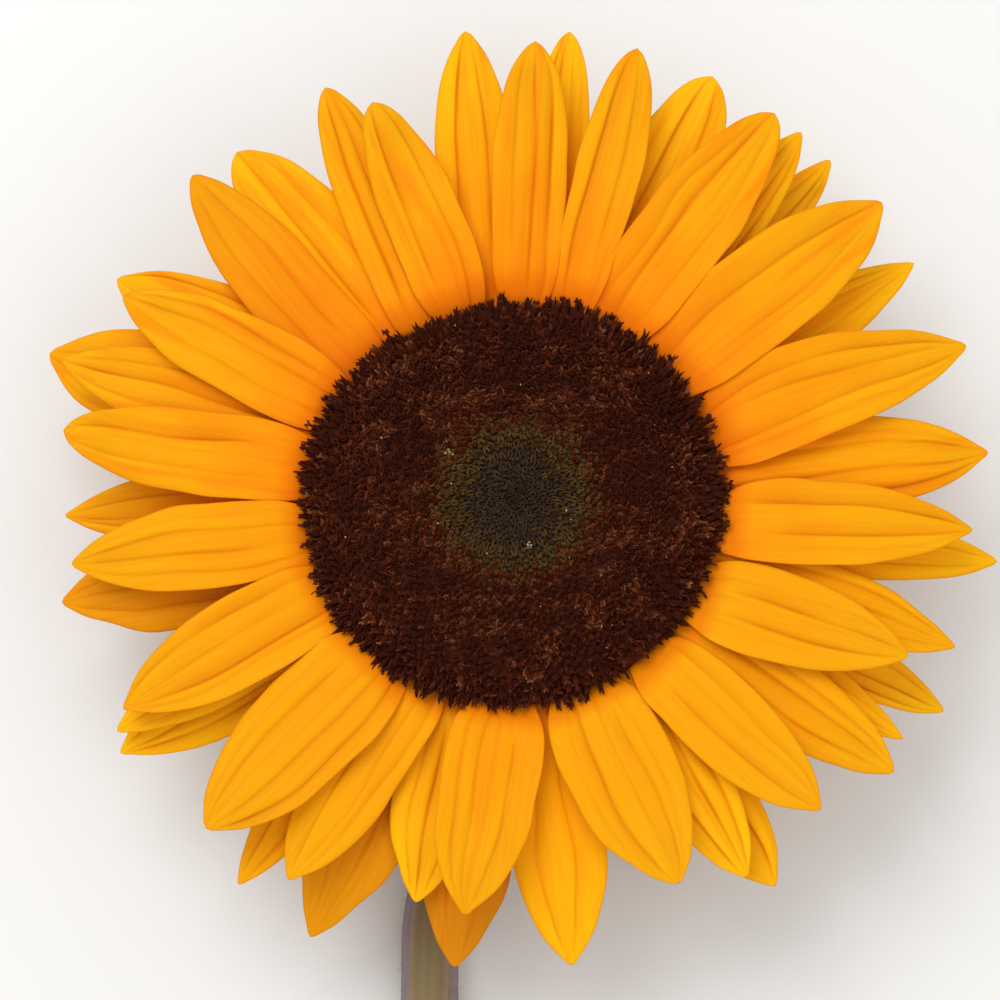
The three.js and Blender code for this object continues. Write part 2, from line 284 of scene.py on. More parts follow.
def petal_material(name, root, middle, tip):
    """Golden petal skin with fine long veins, and painted shade: deeper orange towards its root,
    darker in its creases and along its edges, and redder where it passes under the disc's rim.

    It reads "petal" (the share of the length, the distance across and a number of the petal's
    own), "crease" (how much painted shade of creases and edges it takes) and "root_shade" (how
    much of the root's colour, painted shade, it takes).
    """
    n = Nodes(name)
    place = n.parts("petal")
    share = place[0]
    crease, root_shade = n.attribute("crease"), n.attribute("root_shade")
    streaks = n.noise(1.0, 3, n.stretched(place, (2.6, 1.9, 40)), 0.6)
    clouds = n.noise(1.0, 2, n.stretched(place, (5, 0.25, 90)))
    along = n.plus(share, n.times(n.plus(clouds, -0.5), 0.35))
    colour = n.ramp(along, (0.5, middle), (0.95, tip))
    # Painted shade at the root, under the petals above, more in the far half.
    at_root = n.times(n.ramp(along, (0.05, 1.0), (0.5, 0.0)), root_shade)
    colour = n.mix(at_root, colour, root)
    patches = n.noise(1.0, 2, n.stretched(place, (2.0, 0.3, 60)))
    patches = n.ramp(patches, (0.48, 0.0), (0.75, 0.75))
    colour = n.mix(n.times(patches, n.plus(root_shade, 0.1)), colour, root)
    shade = n.ramp(streaks, (0.3, (240, 230, 220)), (0.62, 1.0))
    colour = n.mix(0.5, colour, shade, "MULTIPLY")
    # Painted shade in the creases and along the edges.
    colour = n.mix(n.times(crease, 0.85), colour, CREASE_SHADE_TONE)
    # Painted shade of the disc's rim, redder orange over the first share of the petal.
    colour = n.mix(n.ramp(share, (0.08, 0.5), (0.15, 0.0)), colour, ROOT_SHADE_TONE)
    n.bump(n.plus(streaks, n.times(crease, -0.5)), 0.25, 0.0003)
    rough = n.ramp(streaks, (0.3, 0.68), (0.7, 0.58))
    return n.finish(colour, rough, 0.07)


def floret_material(name, dark, light, rough=0.75):
    """One flat tone of floret tissue with a little mottling."""
    n = Nodes(name)
    mottle = n.noise(900, 2)
    colour = n.ramp(mottle, (0.35, dark), (0.68, light))
    n.bump(mottle, 0.3, 0.0001)
    return n.finish(colour, rough, 0.06)


def green_material(name, deep, pale, vein):
    """Hairy green plant skin with pale veins where "vein" is 1."""
    n = Nodes(name)
    fine = n.noise(1040, 3)
    colour = n.ramp(n.noise(70, 3), (0.3, deep), (0.7, pale))
    vein_here = n.attribute("vein")
    colour = n.mix(n.times(vein_here, 0.6), colour, vein)
    colour = n.mix(n.times(fine, 0.25), colour, pale)
    n.bump(n.plus(fine, n.times(vein_here, -1.2)), 0.4, 0.0003)
    rough = n.ramp(fine, (0.3, 0.6), (0.7, 0.8))
    return n.finish(colour, rough, 0.3, sheen=0.15)


# ---- Petals ----

CAGE_SHARES = np.array([0, 0.11, 0.26, 0.44, 0.62, 0.79, 0.92, 1])
CAGE_ACROSS = 5
PETAL_ROWS, PETAL_COLUMNS = 50, 41
PETAL_THICKNESS = 0.42
FOLD_DEPTH = 0.8
FINENESS = 0.985  # the skin is a little narrower than its cage
LOBE_RISE = 0.26
RIM_ROLL = 0.3  # each petal's edge lies over its neighbour's at the rim by about twice this
# A petal's half width at its first stations is at least these shares of its widest, and its root
# stands ROOT_RISE over the CAD petal's: the cage is narrower and lower under the florets.
ROOT_FULLNESS = {
    "front": (0.62, 0.87, 0.98),
    "second": (0.74, 0.92, 0.98),
    "third": (0.74, 0.92, 0.98),
    "back": (0.6, 0.85, 0.96),
}
ROOT_RISE = {"front": 2.3, "second": 2.7, "third": 2.9, "back": 2.4}
# Where a petal's creases run, from one margin at -1 to the other at 1.
CREASE_PLANS = [
    (-0.42, 0.36),
    (-0.5, 0.02, 0.5),
    (-0.36, 0.2, 0.62),
    (-0.6, -0.2, 0.38),
    (-0.3, 0.45),
]
STEEP_REACH = 0.4  # of a fold on its steep side, in mm
LINE_REACH = 0.24  # of a crease's line of painted shade to either side
WIDE_LOBE = 0.55  # a wider part between two creases has a faint crease of its own, with a line of painted shade


def read_cage(node):
    """The CAD petal's upper points as (stations, across, 3), and its sideways direction."""
    spots = []
    for point in np.array([v.co for v in node.data.vertices]) / MM:
        for spot in spots:
            if np.hypot(*(spot[:2] - point[:2])) < 0.02:
                spot[2] = max(spot[2], point[2])
                break
        else:
            spots.append(point)
    spots = np.array(spots)
    if len(spots) != len(CAGE_SHARES) * CAGE_ACROSS:
        raise ValueError(f"{node.name} has {len(spots)} upright pairs of points")
    root = spots[np.argsort(np.hypot(*(spots[:, :2] - AXIS).T))[:CAGE_ACROSS]].mean(0)
    tip = spots[np.argsort(-np.hypot(*(spots[:, :2] - root[:2]).T))[:CAGE_ACROSS]].mean(0)
    length = np.hypot(*(tip - root)[:2])
    ahead = (tip - root)[:2] / length
    side = np.array([ahead[1], -ahead[0]])
    share = (spots[:, :2] - root[:2]) @ ahead / length
    station = np.abs(share[:, None] - CAGE_SHARES).argmin(1)
    order = np.lexsort(((spots[:, :2] - root[:2]) @ side, station))
    return spots[order].reshape(len(CAGE_SHARES), CAGE_ACROSS, 3), side


def lobe_columns(bounds):
    """Places across a petal, -1 to 1, gathered towards the bounds: (rows, PETAL_COLUMNS)."""
    widths = np.diff(bounds[:, PETAL_ROWS // 2, 0])
    ends = np.round(np.cumsum(widths) / widths.sum() * (PETAL_COLUMNS - 1)).astype(int)
    columns = [bounds[0]]
    for low, high, count in zip(bounds, bounds[1:], np.diff(ends, prepend=0)):
        step = np.arange(1, count + 1) / count
        eased = 0.45 * step + 0.55 * (1 - np.cos(math.pi * step)) / 2
        columns.append(low + (high - low) * eased)
    return np.concatenate(columns, 1)


def wander(share, scale, own):
    """Smooth random numbers from -1 to 1 for the rows of a petal."""
    return smooth_noise(share, own.integers(1000), scale)


def petal_halves(cage, side, whorl, blunt, share, own):
    """Half of a petal's width in each row, rounded off at the tip."""
    half = ((cage[:, 4] - cage[:, 0])[:, :2] @ side) / 2
    fullness = np.array(ROOT_FULLNESS[whorl]) * own.uniform(0.94, 1.04)
    half[:3] = np.maximum(half[:3], half.max() * fullness)
    half = spline(CAGE_SHARES, half, share[:, 0])[:, None] * FINENESS
    half *= 1 + own.uniform(-0.06, 0.06) * np.exp(-(((share - 0.86) / 0.08) ** 2))
    half = half.max() * (half / half.max()) ** (1 - 0.32 * blunt * ease(share, 0.6, 0.9))
    closing = 0.014 + 0.03 * max(blunt, 0)
    at_tip = np.clip((share - 1) / closing + 1, 0, 1)
    return half * np.sqrt(np.clip(1 - at_tip**2, 0.002, 1))


def crease_fold(share, off, turn, full, ending, own):
    """How deep one crease's fold is at distances off it, and its painted shade: a dark line
    along it and a fading band on the gentle side. The fold is steep on one side and gentle on
    the other, which lies in shade. It starts near the root or a little way out, and is deeper
    here and there."""
    begins = own.uniform(-0.25, 0.15)
    uneven = 0.75 + 0.3 * wander(share, 0.22, own)
    grown = ease(share, begins, begins + 0.25) * ending * uneven
    strength = own.uniform(0.5, 1.15)
    gentle = own.uniform(1.4, 3.6)
    reach = np.where(off * turn > 0, gentle, STEEP_REACH)
    depth = strength * FOLD_DEPTH * grown * full * np.exp(-np.abs(off) / reach)
    line = np.exp(-((off / LINE_REACH) ** 2))
    shade = np.where(off * turn > 0, np.exp(-np.abs(off) / gentle), 0)
    return depth, strength * grown * (line + 0.48 * shade * (1 - line))


def petal_grid(cage, side, whorl, blunt, own):
    """Smooth upper points of a petal over its cage, with each point's share of the length,
    distance across and painted shade of creases and edges."""
    u = np.linspace(0, 1, PETAL_ROWS)[:, None]
    share = 0.35 * u + 0.65 * np.sin(math.pi / 2 * u)
    left, middle, right = (spline(CAGE_SHARES, cage[:, k], share[:, 0]) for k in (0, 2, 4))
    half = petal_halves(cage, side, whorl, blunt, share, own)

    # The creases wander a little, and the columns of points follow them.
    plan = CREASE_PLANS[own.integers(len(CREASE_PLANS))]
    turn = own.choice((-1, 1))
    creases = []
    for place in plan[::turn]:
        creases.append(turn * (place + own.normal(0, 0.05)) + 0.08 * wander(share, 0.3, own))
    bounds = np.array([-1 + 0 * share, *creases, 1 + 0 * share])
    t = lobe_columns(bounds)
    uneven = [0.03 * wander(share, 0.14, own) for _ in range(2)]
    across = t * half * (1 + np.where(t < 0, *uneven))
    lift = np.where(t < 0, (left - middle)[:, 2:], (right - middle)[:, 2:])
    z = middle[:, 2:] + lift * t**2
    z += (ROOT_RISE[whorl] + RIM_ROLL * t) * (1 - ease(share, 0.08, 0.45))

    full = half / half.max()
    ending = 1 - 0.7 * ease(share, 0.85, 1.0)
    dark = np.zeros_like(t)
    for crease in creases:
        depth, shade = crease_fold(share, (t - crease) * half, turn, full, ending, own)
        z -= depth
        dark = np.maximum(dark, shade)

    # Between its creases a petal swells up, and a wide part has one faint crease along it, with a
    # line of painted shade.
    for low, high in zip(bounds, bounds[1:]):
        in_lobe = (2 * t - low - high) / (high - low)
        swell = LOBE_RISE * ending * full * np.clip(1 - in_lobe**2, 0, 1)
        z += swell * own.uniform(0.3, 1.3)
        if (high - low)[PETAL_ROWS // 2] > WIDE_LOBE:
            course = own.uniform(-0.4, 0.4) + 0.3 * wander(share, 0.4, own)
            off = (in_lobe - course) * (high - low) / 2 * half
            faint = own.uniform(0.1, 0.35) * np.exp(-((off / 0.45) ** 2)) * ending
            z -= 0.3 * faint * full
            dark = np.maximum(dark, faint)

    # Away from the root the margins wave and curl, and the whole petal undulates.
    free = ease(share, 0.1, 0.7)
    for edge in (np.clip(-t, 0, 1), np.clip(t, 0, 1)):
        z += free * 0.5 * wander(share, 0.19, own) * edge**3 * full
        z -= free * own.uniform(-0.1, 0.9) * edge**6 * full
    z += 0.3 * free * wander(share, 0.28, own)
    points = np.concatenate([middle[:, None, :2] + across[..., None] * side, z[..., None]], -1)
    # Painted shade along the edges, stronger towards the tip.
    rim = (0.25 + 0.3 * share) * np.exp((np.abs(t) - 1) * half / 0.28)
    return points, share, across, np.maximum(dark, rim)


petal_faces = shell_faces(PETAL_ROWS, PETAL_COLUMNS)
# The colours of each tone of petal at the root, in the middle and at the tip. The deeper
# orange at the root is painted shade. The whorls under the front one are brighter copies of
# its colour, painted light against the shade they lie in; "pale" is brighter still, "shaded"
# and "brown" are darker copies, painted shade, and "deep" is a darker copy.
PETAL_TONES = {
    "front": ((246, 132, 0), (242, 161, 2), (237, 167, 3)),
    "second": ((247, 132, 0), (246, 163, 3), (242, 171, 4)),
    "third": ((254, 140, 0), (254, 174, 4), (252, 184, 5)),
    "back": ((252, 138, 0), (250, 163, 4), (247, 174, 6)),
    "deep": ((236, 117, 0), (236, 145, 2), (233, 155, 3)),
    "pale": ((255, 146, 2), (255, 181, 6), (254, 191, 8)),
    "shaded": ((236, 116, 0), (230, 142, 5), (230, 152, 8)),
    "brown": ((218, 103, 0), (213, 127, 8), (212, 136, 12)),
}
petal_tones = {k: petal_material(f"petal_{k}", *colours) for k, colours in PETAL_TONES.items()}
# Petals that stray from their whorl's tone. The "pale" ones lie in shade and take a brighter
# copy, painted light; those given "shaded", "brown" or the back tone take darker copies,
# painted shade; "deep" is a darker copy.
STRAYS = {
    "deep": "second_09",
    "pale": "second_01 second_05 second_07 third_01 third_02 third_03 third_08 third_10 back_01 "
    "back_02",
    "back": "third_09",
    "shaded": "third_11 back_04",
    "brown": "back_03",
}
ODD_TONES = {f"petal_{name}": tone for tone, names in STRAYS.items() for name in names.split()}
ROUND_TIPS = {"petal_front_14"}


def make_petal(name, seed):
    """A petal's blade over its CAD petal, with the numbers that its material reads."""
    own = np.random.default_rng(seed)
    cage, side = read_cage(nodes[name])
    whorl = name.split("_")[1]
    # Petals of the far half take more painted shade at the root, and the farthest are rounder at
    # the tip.
    ahead = cage[-1, 2, :2] - AXIS
    far = ahead[1] / np.hypot(*ahead)
    blunt = np.clip(-0.4 + 0.8 * ease(far, 0.3, 0.9) + own.normal(0, 0.2), -0.7, 0.8)
    blunt = max(blunt, 0.5) if name in ROUND_TIPS else blunt
    root_shade = np.clip(0.2 + 0.75 * ease(far, -0.3, 0.25) + own.normal(0, 0.12), 0, 1)
    upper, share, across, dark = petal_grid(cage, side, whorl, blunt, own)
    edge = np.linspace(-1, 1, PETAL_COLUMNS)[:, None]
    lower = upper - PETAL_THICKNESS * (1 - 0.55 * edge**4) * [0, 0, 1]
    points = np.stack([upper, lower])
    tone = petal_tones[ODD_TONES.get(name, whorl)]
    piece = make_piece(f"{name}_blade", points, petal_faces, [tone])
    along = np.broadcast_to(share, across.shape)
    place = np.stack([along, across, np.full(across.shape, seed % 97 / 97)], -1)
    add_attribute(piece, "petal", np.stack([place, place]))
    # Painted shade of creases and edges, half as strong underneath.
    add_attribute(piece, "crease", np.stack([dark, 0.5 * dark]))
    add_attribute(piece, "root_shade", np.full(points.size // 3, root_shade))
    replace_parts(piece, name)


for index, name in enumerate(sorted(n for n in nodes if n.startswith("petal_"))):
    make_petal(name, 100 + 13 * index)


# ---- Disc of florets ----

GOLDEN_ANGLE = math.radians(137.50776)
FLORETS = 3700
BED_RADIUS = 38.9  # out to the last floret's foot
CROWDING = 0.6  # over 0.5, so florets are smaller and closer towards the middle
CORE_RADIUS, RING_RADIUS, MARGIN_RADIUS = 9.4, 14.2, 17.0
INNER_RADIUS, FRINGE_RADIUS = 27, 35.5
# How far the rim stands out from a true circle, every 30 degrees of bearing.
RIM_REACH = (-1.6, -0.4, -0.6, 0, -1.6, -1.2, 0.6, 0.2, 0.6, 0.9, 0.2, -1.6)


def bed_height(radius):
    """Height of the florets' feet above the ground, as in the CAD disc."""
    dome = 4.6 - 1.2 * (radius / DISC_RADIUS) ** 4 - 0.9 * np.exp(-((radius / 14) ** 2))
    return DISC_BASE + dome - 0.9 * np.maximum(radius - 37.6, 0)


def rim_shift(radius, angle):
    """How far the uneven rim moves a point out, at an angle anticlockwise from +X."""
    reach = np.interp(90 - np.degrees(angle), np.arange(0, 360, 30), RIM_REACH, period=360)
    return reach * ease(radius, 24, BED_RADIUS)


def tube(path, radii, sides):
    """A closed tube of triangles along a path of points."""
    path, radii = np.array(path, float), np.array(radii, float)
    tangent = unit(np.gradient(path, axis=0))
    across = unit(np.cross(tangent, [0.31, 0.95, 0.05]))
    ring = spokes(across, np.cross(tangent, across), circle(sides))
    points = (path[:, None] + ring * radii[:, None, None]).reshape(-1, 3)
    quads = grid_faces(len(path), sides, around=True)
    fan = np.arange(1, sides - 1)
    bottom = np.stack([0 * fan, fan + 1, fan], 1)
    top = np.stack([0 * fan, fan, fan + 1], 1) + len(points) - sides
    return points, np.concatenate([quads[:, [0, 1, 2]], quads[:, [0, 2, 3]], bottom, top])


def lobe(angle, outer, high, inner=0.34, low=0.56, width=0.2):
    """A pointed corolla lobe: a thin closed wedge that leans out."""
    c, s = math.cos(angle), math.sin(angle)
    left = [inner * c - width * s, inner * s + width * c, low]
    right = [inner * c + width * s, inner * s - width * c, low]
    back = [(inner - 0.1) * c, (inner - 0.1) * s, low - 0.12]
    faces = np.array([[0, 2, 1], [0, 1, 3], [1, 2, 3], [2, 0, 3]])
    return np.array([left, right, back, [outer * c, outer * s, high]]), faces


BODY, MOUTH, STYLE = 0, 1, 2


def joined(*shapes):
    """One shape from (part number, (points, faces)) pairs, with a part number for each face."""
    points, faces, parts, start = [], [], [], 0
    for part, (p, f) in shapes:
        points.append(p)
        faces.append(f + start)
        parts.append(np.full(len(f), part))
        start += len(p)
    return np.concatenate(points), np.concatenate(faces), np.concatenate(parts)


def bud(own, bend):
    """An unopened floret, one wide and one high, with thin tips that bend in to the middle."""
    body = tube([(0, 0, -0.4), (0, 0, 0.3), (-0.15 * bend, 0, 0.72)], [0.46, 0.5, 0.36], 5)
    tips = []
    for w in (own.uniform(-0.35, -0.1), own.uniform(0.1, 0.35)):
        b = bend * own.uniform(0.6, 1.4)
        path = [(0.1, 0.6 * w, 0.55), (-0.3 * b, w, 0.86), (-0.8 * b, 1.2 * w, 1.0)]
        tips.append((MOUTH, tube(path, [0.2, 0.17, 0.05], 4)))
    return joined((BODY, body), *tips)


def pointed_floret(own):
    """A floret of the outer edge, one wide and one high: it narrows to a few short points."""
    body = tube([(0, 0, -0.4), (0, 0, 0.35), (0.05, 0, 0.7)], [0.4, 0.42, 0.3], 5)
    points = []
    turn = own.uniform(0, 2)
    for k in range(3):
        a = turn + k * 2.1 + own.normal(0, 0.3)
        c, s = math.cos(a), math.sin(a)
        out = own.uniform(0.3, 0.5)
        path = [(0.1 * c, 0.1 * s, 0.45), (0.24 * c, 0.24 * s, 0.8)]
        path.append((out * c + 0.1, out * s, own.uniform(0.95, 1.2)))
        points.append((MOUTH if k else STYLE, tube(path, [0.2, 0.17, 0.03], 4)))
    return joined((BODY, body), *points)


def open_floret(own, curl, thick=1.0):
    """An open floret, one wide and one high: tube, lobes, anthers and a forked style."""
    body = tube([(0, 0, -0.3), (0, 0, 0.25), (0, 0, 0.6)], [0.34, 0.46, 0.46], 5)
    turn = own.uniform(0, 1)
    lobes = []
    for a in turn + circle(5):
        lobes.append((MOUTH, lobe(a, own.uniform(0.5, 0.66), own.uniform(0.6, 0.78))))
    anthers = tube([(0, 0, 0.3), (0, 0, 0.78), (0, 0, 0.9)], [0.19, 0.2, 0.1], 5)
    fork = own.uniform(0, math.pi)
    horns = []
    for a in (fork, fork + math.pi + own.normal(0, 0.4)):
        c, s = math.cos(a), math.sin(a)
        r = curl * own.uniform(0.75, 1.25)
        drop = own.uniform(0.02, 0.2)
        path = [(0.02 * c, 0.02 * s, 0.78), (0.16 * c * r, 0.16 * s * r, 0.98)]
        path += [(0.38 * c * r, 0.38 * s * r, 1.08), (0.58 * c * r, 0.58 * s * r, 1.06 - drop)]
        horns.append((STYLE, tube(path, [0.1 * thick, 0.125 * thick, 0.115 * thick, 0.05], 4)))
    return joined((BODY, body), *lobes, (BODY, anthers), *horns)


def turned(x, y, angles):
    """Rows of x and y turned anticlockwise, each row by its own angle."""
    c, s = np.cos(angles)[:, None], np.sin(angles)[:, None]
    return x * c - y * s, x * s + y * c


def scatter(shapes, kind, feet, widths, heights, spin, lean, facing):
    """Copies of little shapes on the bed: kind says which shape each copy is. It also gives each
    face's part and the number of its copy."""
    found, start = [], 0
    for k, (points, faces, parts) in enumerate(shapes):
        chosen = np.flatnonzero(kind == k)
        local = points[None] * np.stack([widths, widths, heights], 1)[chosen][:, None]
        x, y = turned(local[..., 0], local[..., 1], spin[chosen])
        z, x = turned(local[..., 2], x, lean[chosen])
        x, y = turned(x, y, facing[chosen])
        placed = (np.stack([x, y, z], -1) + feet[chosen][:, None]).reshape(-1, 3)
        copied = start + repeated(faces, len(points), len(chosen)).reshape(-1, 3)
        copies = np.repeat(chosen, len(faces))
        found.append((placed, copied, np.tile(parts, len(chosen)), copies))
        start += len(placed)
    return tuple(np.concatenate(a) for a in zip(*found))


number = np.arange(FLORETS) + 0.5
spiral_radius = BED_RADIUS * (number / FLORETS) ** CROWDING
spiral_angle = GOLDEN_ANGLE * number
along_rim = spiral_angle % math.tau * BED_RADIUS
spiral_radius += 0.7 * smooth_noise(along_rim, 12, 11) * ease(spiral_radius, 28, BED_RADIUS)
pitch = np.sqrt(math.tau * CROWDING * spiral_radius**2 / number / 0.866)
looseness = pitch * (0.05 + 0.09 * ease(spiral_radius, 12, 24))
jitter = rng.normal(0, 1, (FLORETS, 2)) * looseness[:, None]
foot_radius = spiral_radius + rim_shift(spiral_radius, spiral_angle)
foot_x = AXIS[0] + foot_radius * np.cos(spiral_angle) + jitter[:, 0]
foot_y = AXIS[1] + foot_radius * np.sin(spiral_angle) + jitter[:, 1]
feet = np.stack([foot_x, foot_y, bed_height(spiral_radius)], 1)
# Zones mix at their borders: each floret takes its zone at a radius a little off its own.
zone_radius = spiral_radius + rng.normal(0, 1.2, FLORETS)

# The dark and the light colour of each tone of floret.
FLORET_TONES = {
    "core": ((60, 43, 32), (74, 55, 42)),
    "core_tip": ((66, 49, 37), (84, 64, 50)),
    "olive": ((76, 53, 23), (92, 66, 33)),
    "olive_tip": ((84, 62, 31), (108, 83, 46)),
    "umber": ((84, 48, 21), (102, 62, 29)),
    "shadow": ((60, 23, 12), (72, 29, 15)),
    "deep": ((74, 30, 15), (88, 37, 19)),
    "brown": ((88, 39, 21), (106, 49, 27)),
    "rust": ((110, 54, 28), (132, 70, 39)),
    "rose": ((114, 64, 37), (138, 85, 52)),
}
tones = {k: floret_material(f"floret_{k}", *colours) for k, colours in FLORET_TONES.items()}


def make_florets(name, low, high, shapes, rows, shares, height, seed, width=1.12, turn=math.pi):
    """The florets of the zone between two radii. Each copy is dealt one of the rows, which
    names its body's, mouth's and style's tone. Their height is given at one radius, with its
    growth per mm and that radius."""
    own = np.random.default_rng(seed)
    here = np.flatnonzero((zone_radius >= low) & (zone_radius < high))
    count = len(here)
    radius = spiral_radius[here]
    outwards = ease(radius, 31, BED_RADIUS)
    lean = np.radians(2 + 8 * radius / BED_RADIUS + 52 * outwards) + own.normal(0, 0.1, count)
    base, growth, start = height
    # Along the rim the florets stand in tufts, some of which reach farther.
    tuft = smooth_noise(along_rim[here], 9, 3.2) * outwards
    points, faces, parts, copies = scatter(
        shapes,
        own.integers(0, len(shapes), count),
        feet[here],
        width * pitch[here] * own.normal(1, 0.07, count),
        (base + growth * (radius - start)) * own.normal(1, 0.12, count) * (1 + 0.2 * tuft),
        own.uniform(-turn, turn, count),
        lean,
        spiral_angle[here] + own.normal(0, 0.04 + 0.14 * outwards),
    )
    # The rows go from dark to light, and broad patches of the disc lean one way or the other.
    used = sorted(set(" ".join(rows).split()))
    table = np.array([[used.index(tone) for tone in row.split()] for row in rows])
    waves = (np.sin(feet[here] @ own.normal(0, 0.6, 3) + own.uniform(0, 6)) for _ in range(8))
    patch = sum(waves) / 4
    patchy = 0.6 * ease(radius, 14, 20)
    luck = np.clip(0.06 + 0.85 * own.uniform(0, 1, count) ** 1.2 + patchy * patch, 0, 0.999)
    dealt = np.searchsorted(np.cumsum(shares) / sum(shares), luck, side="right")
    looks = [tones[tone] for tone in used]
    worn = table[dealt[copies], parts]
    piece = make_piece(f"florets_{name}", points, faces, looks, worn, smooth=False)
    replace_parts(piece, "disc")


own = np.random.default_rng(5)
buds = [bud(own, bend) for bend in (0.6, 0.8, 1.0, 1.2)]
opened = [open_floret(own, curl, 1.1) for curl in (0.5, 0.65, 0.7, 0.8, 0.9, 0.45, 0.75, 0.6)]
pointed = [pointed_floret(own) for _ in range(6)]
pointed += [open_floret(own, curl, 1.4) for curl in (0.8, 1.0)]
core_rows = ["core core_tip core_tip", "core core core", "olive core_tip core_tip"]
ring_rows = [
    "olive olive_tip olive_tip",
    "core olive olive_tip",
    "olive core_tip olive",
    "umber umber olive_tip",
]
brown_rows = [
    "shadow shadow shadow",
    "shadow shadow deep",
    "shadow deep brown",
    "deep brown brown",
    "deep brown rust",
    "brown rust rose",
]
umber_rows = ["deep umber umber", "umber brown rust", "umber umber olive_tip", *brown_rows[2:5]]
FLORET_ZONES = [
    # name, outer radius, shapes, rows of tones, their shares, height, seed, width, turn
    ("core", CORE_RADIUS, buds, core_rows, (5, 3, 1.6), (1.9, 0, 0), 1, 1.05, 0.35),
    ("ring", RING_RADIUS, buds, ring_rows, (5, 2, 2, 2), (2.1, 0, 0), 2, 1.05, 0.3),
    ("margin", MARGIN_RADIUS, opened, umber_rows, (3, 3, 3, 2, 2, 1), (2.25, 0, 0), 6),
    ("inner", INNER_RADIUS, opened, brown_rows, (3, 4, 5, 4, 3, 0.5), (2.3, 0.04, 14), 3),
    ("outer", FRINGE_RADIUS, opened, brown_rows, (4, 5, 5, 4, 2, 0.35), (2.8, 0.03, 26), 4),
    ("fringe", math.inf, pointed, brown_rows[:3], (5, 4, 2), (2.4, 0.05, 34), 5, 1.15),
]
reached = -math.inf
for name, outer, *rest in FLORET_ZONES:
    make_florets(name, reached, outer, *rest)
    reached = outer

POLLEN_SPOTS = [(-12.6, 8.8), (2.6, -9.2)]
SPOT_GRAINS, LOOSE_GRAINS = 12, 26


def make_pollen():
    """Pale grains of pollen as small octahedra, thickest on two spots by the unopened florets."""
    own = np.random.default_rng(77)
    spots = [own.normal(place, 0.3, (SPOT_GRAINS, 2)) for place in POLLEN_SPOTS]
    far = own.uniform(8, 37, LOOSE_GRAINS)
    a = own.uniform(0, math.tau, LOOSE_GRAINS)
    x, y = np.concatenate([*spots, np.stack([far * np.cos(a), far * np.sin(a)], 1)]).T
    z = bed_height(np.hypot(x, y)) + own.uniform(2.0, 3.1, len(x))
    size = own.uniform(0.11, 0.24, len(x))[:, None, None]
    corners = np.array([(1, 0, 0), (0, 1, 0), (-1, 0, 0), (0, -1, 0), (0, 0, 1), (0, 0, -1)])
    points = np.stack([AXIS[0] + x, AXIS[1] + y, z], 1)[:, None] + corners * size
    one = [[k, (k + 1) % 4, 4] for k in range(4)] + [[(k + 1) % 4, k, 5] for k in range(4)]
    faces = repeated(np.array(one), len(corners), len(x))
    tone = floret_material("pollen_grain", (170, 152, 112), (200, 184, 146))
    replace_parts(make_piece("pollen", points, faces, [tone]), "disc")


make_pollen()


BED_RETREAT = 0.4  # so far the bed follows the florets in, without baring the petals' roots
BED_EDGE = 38.7
PIN = 0.05  # the radius of the small hole where rings of points meet at the axis


def make_bed():
    """The dome that the florets stand on, closed underneath, in the tone of each zone."""
    radii = np.array([PIN, *np.linspace(2, BED_EDGE, 32)])
    rise = 0.65 + 0.4 * ease(radii, 12, 20) - 0.95 * ease(radii, 33, 38.4)
    profile = list(zip(radii, bed_height(radii) + rise))
    profile += [(BED_EDGE + 0.1, DISC_BASE + 1.6), (BED_EDGE - 1.7, DISC_BASE), (PIN, DISC_BASE)]
    points, faces = lathe(profile, 96, lambda r, a: np.maximum(rim_shift(r, a), -BED_RETREAT))
    middle = np.hypot(*(points[faces].mean(1)[:, :2] - AXIS).T)
    middle += np.random.default_rng(6).normal(0, 1, len(faces))
    zone = (middle > CORE_RADIUS).astype(int) + (middle > RING_RADIUS)
    zones = [tones[tone] for tone in ("core", "olive", "deep")]
    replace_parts(make_piece("disc_bed", points, faces, zones, zone), "disc")


make_bed()


# ---- Receptacle, bracts and stem ----

STEM_RADIUS = 5.6
STEM_HEIGHT = STEM_RADIUS * math.cos(math.pi / 16)
NECK_BEND, NECK_FLARE = 15.0, 7.4
STEM_REACH, STEM_SIDESTEP = 126.0, 16.5
BACK_LOW, BACK_TOP = (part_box("receptacle")[k][2] / MM for k in (0, 1))
NECK_TOP = BACK_LOW + 0.6
UNDERSIDE = np.array(
    [[NECK_FLARE, 0], [10, 0.12], [16, 0.29], [24, 0.44], [31, 0.56], [35.5, 0.68], [37.4, 0.8]]
)


def underside(radius):
    """Height of the receptacle's green underside above the ground."""
    share = np.interp(radius, *UNDERSIDE.T)
    return BACK_LOW + share * (BACK_TOP - BACK_LOW)


GROUND_GAP = 0.05  # how far bracts and hairs stay above the ground


def spikes(feet, ways, shortest, longest, thickness, own):
    """Fine hairs: closed three-sided spikes that bend a little."""
    lengths = own.uniform(shortest, longest, len(feet))[:, None]
    ways = unit(ways)
    across = unit(np.cross(ways, own.normal(0, 1, feet.shape)))
    up = np.cross(ways, across)
    corners = []
    for place, size in ((0.0, 1.0), (0.5, 0.6)):
        centre = feet + ways * (lengths * place)
        for a in circle(3):
            corners.append(centre + (across * math.cos(a) + up * math.sin(a)) * thickness * size)
    bent = ways + across * own.uniform(-0.35, 0.35, (len(feet), 1))
    corners.append(feet + bent * lengths)
    points = np.stack(corners, 1).reshape(-1, 3)
    points[:, 2] = np.maximum(points[:, 2], GROUND_GAP)
    one = [[0, 2, 1]]
    for k, n in ((0, 1), (1, 2), (2, 0)):
        one += [[k, n, n + 3], [k, n + 3, k + 3], [k + 3, n + 3, 6]]
    return points, repeated(np.array(one), 7, len(feet))


